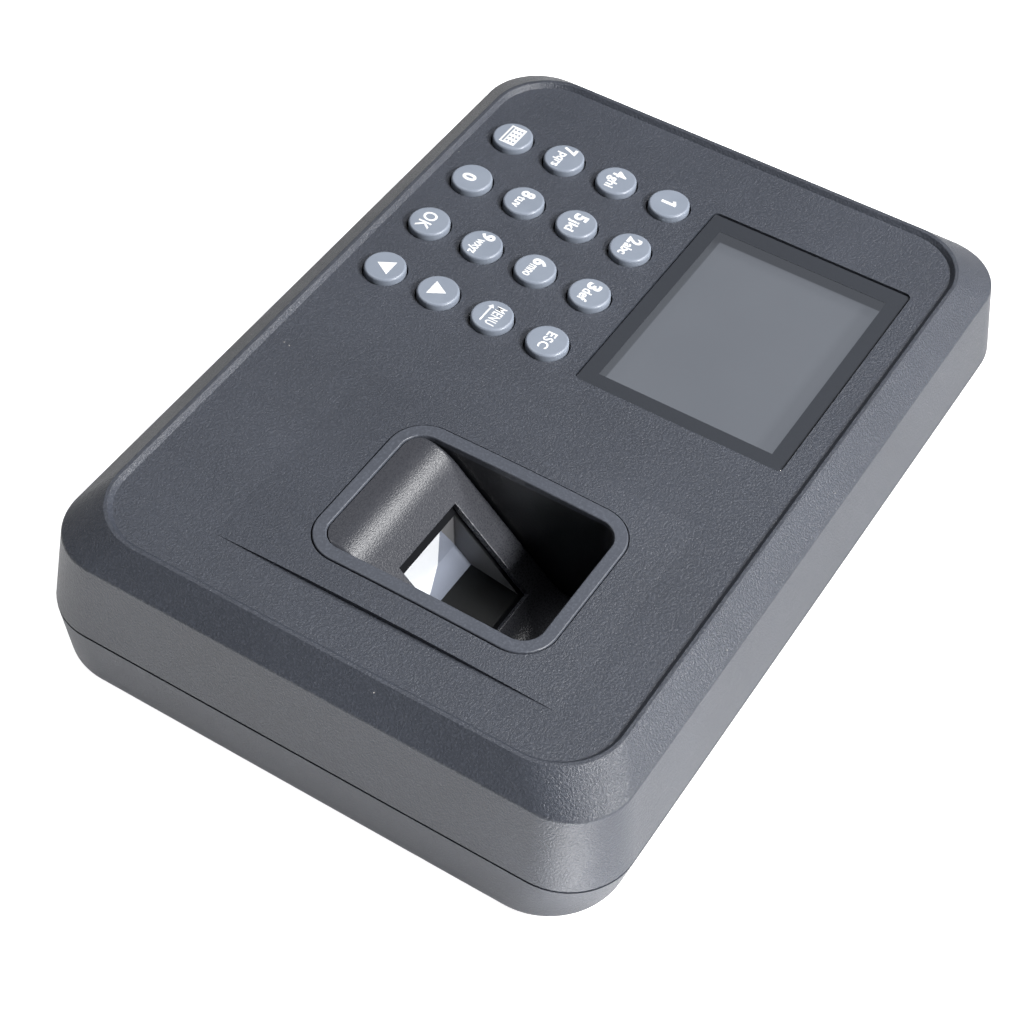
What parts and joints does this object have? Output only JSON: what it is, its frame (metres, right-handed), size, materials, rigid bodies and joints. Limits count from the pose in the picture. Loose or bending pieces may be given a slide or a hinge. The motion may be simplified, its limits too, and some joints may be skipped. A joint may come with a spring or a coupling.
{
  "type": "fingerprint scanner terminal",
  "caption": "Desk or wall terminal with a colour screen, a round-key pad and a sunken finger ramp with a glass sensor window, in a two-part bevelled case.",
  "frame": {"origin": "centre of the footprint, in the plane the feet stand on", "axes": "+X along the long side, to the reader's right; +Y along the short side, to the top of the text; +Z out of the face"},
  "size_m": [0.187, 0.1328, 0.0406],
  "materials": {
    "housing": "fine spark texture",
    "back": "fine spark texture",
    "trim": "semi-gloss",
    "ramp": "polished",
    "keys": "satin",
    "window": "gloss with a printed dark border",
    "display": "gloss",
    "prism": "clear",
    "rubber": "matt",
    "mat": "matt",
    "dark_plastic": "matt",
    "pale_plastic": "matt",
    "board": "solder mask",
    "ribbon": "film",
    "lamp": "clear resin",
    "steel": "machined",
    "sheet_steel": "plated",
    "paper": "treated paper"
  },
  "bodies": {
    "housing": {"front_shell": "housing", "back_cover": "back", "rubber_feet": "rubber", "case_screws": "steel", "screen_window": "window", "screen_gasket": "rubber", "display_panel": "display", "display_tray": "sheet_steel", "display_flex": "ribbon", "key_mat": "mat", "key_board": "board", "key_board_screws": "steel", "bay_trim_ring": "trim", "finger_ramp": "ramp", "sensor_prism": "prism", "sensor_housing": "dark_plastic", "sensor_board": "board", "sensor_camera": "dark_plastic", "sensor_lights": "lamp", "sensor_cable": "ribbon", "main_board": "board", "main_board_chips": "dark_plastic", "main_board_connectors": "pale_plastic", "main_board_screws": "steel", "usb_socket": "sheet_steel", "usb_tongue": "pale_plastic", "power_jack": "dark_plastic", "power_pin": "steel", "cell_holder": "dark_plastic", "clock_cell": "sheet_steel", "speaker_basket": "sheet_steel", "speaker_magnet": "sheet_steel", "speaker_cone": "paper"},
    "key_1": {"key_1": "keys"},
    "key_2": {"key_2": "keys"},
    "key_3": {"key_3": "keys"},
    "key_esc": {"key_esc": "keys"},
    "key_4": {"key_4": "keys"},
    "key_5": {"key_5": "keys"},
    "key_6": {"key_6": "keys"},
    "key_menu": {"key_menu": "keys"},
    "key_7": {"key_7": "keys"},
    "key_8": {"key_8": "keys"},
    "key_9": {"key_9": "keys"},
    "key_up": {"key_up": "keys"},
    "key_input": {"key_input": "keys"},
    "key_0": {"key_0": "keys"},
    "key_ok": {"key_ok": "keys"},
    "key_down": {"key_down": "keys"}
  },
  "joints": [
    {"name": "press_1", "type": "slide", "parent": "housing", "child": "key_1", "axis": [0, 0, -1], "range_m": [0, 0.001], "stiffness_N_per_m": 300, "deforming": ["key_mat"]},
    {"name": "press_2", "type": "slide", "parent": "housing", "child": "key_2", "axis": [0, 0, -1], "range_m": [0, 0.001], "stiffness_N_per_m": 300, "deforming": ["key_mat"]},
    {"name": "press_3", "type": "slide", "parent": "housing", "child": "key_3", "axis": [0, 0, -1], "range_m": [0, 0.001], "stiffness_N_per_m": 300, "deforming": ["key_mat"]},
    {"name": "press_esc", "type": "slide", "parent": "housing", "child": "key_esc", "axis": [0, 0, -1], "range_m": [0, 0.001], "stiffness_N_per_m": 300, "deforming": ["key_mat"]},
    {"name": "press_4", "type": "slide", "parent": "housing", "child": "key_4", "axis": [0, 0, -1], "range_m": [0, 0.001], "stiffness_N_per_m": 300, "deforming": ["key_mat"]},
    {"name": "press_5", "type": "slide", "parent": "housing", "child": "key_5", "axis": [0, 0, -1], "range_m": [0, 0.001], "stiffness_N_per_m": 300, "deforming": ["key_mat"]},
    {"name": "press_6", "type": "slide", "parent": "housing", "child": "key_6", "axis": [0, 0, -1], "range_m": [0, 0.001], "stiffness_N_per_m": 300, "deforming": ["key_mat"]},
    {"name": "press_menu", "type": "slide", "parent": "housing", "child": "key_menu", "axis": [0, 0, -1], "range_m": [0, 0.001], "stiffness_N_per_m": 300, "deforming": ["key_mat"]},
    {"name": "press_7", "type": "slide", "parent": "housing", "child": "key_7", "axis": [0, 0, -1], "range_m": [0, 0.001], "stiffness_N_per_m": 300, "deforming": ["key_mat"]},
    {"name": "press_8", "type": "slide", "parent": "housing", "child": "key_8", "axis": [0, 0, -1], "range_m": [0, 0.001], "stiffness_N_per_m": 300, "deforming": ["key_mat"]},
    {"name": "press_9", "type": "slide", "parent": "housing", "child": "key_9", "axis": [0, 0, -1], "range_m": [0, 0.001], "stiffness_N_per_m": 300, "deforming": ["key_mat"]},
    {"name": "press_up", "type": "slide", "parent": "housing", "child": "key_up", "axis": [0, 0, -1], "range_m": [0, 0.001], "stiffness_N_per_m": 300, "deforming": ["key_mat"]},
    {"name": "press_input", "type": "slide", "parent": "housing", "child": "key_input", "axis": [0, 0, -1], "range_m": [0, 0.001], "stiffness_N_per_m": 300, "deforming": ["key_mat"]},
    {"name": "press_0", "type": "slide", "parent": "housing", "child": "key_0", "axis": [0, 0, -1], "range_m": [0, 0.001], "stiffness_N_per_m": 300, "deforming": ["key_mat"]},
    {"name": "press_ok", "type": "slide", "parent": "housing", "child": "key_ok", "axis": [0, 0, -1], "range_m": [0, 0.001], "stiffness_N_per_m": 300, "deforming": ["key_mat"]},
    {"name": "press_down", "type": "slide", "parent": "housing", "child": "key_down", "axis": [0, 0, -1], "range_m": [0, 0.001], "stiffness_N_per_m": 300, "deforming": ["key_mat"]}
  ]
}
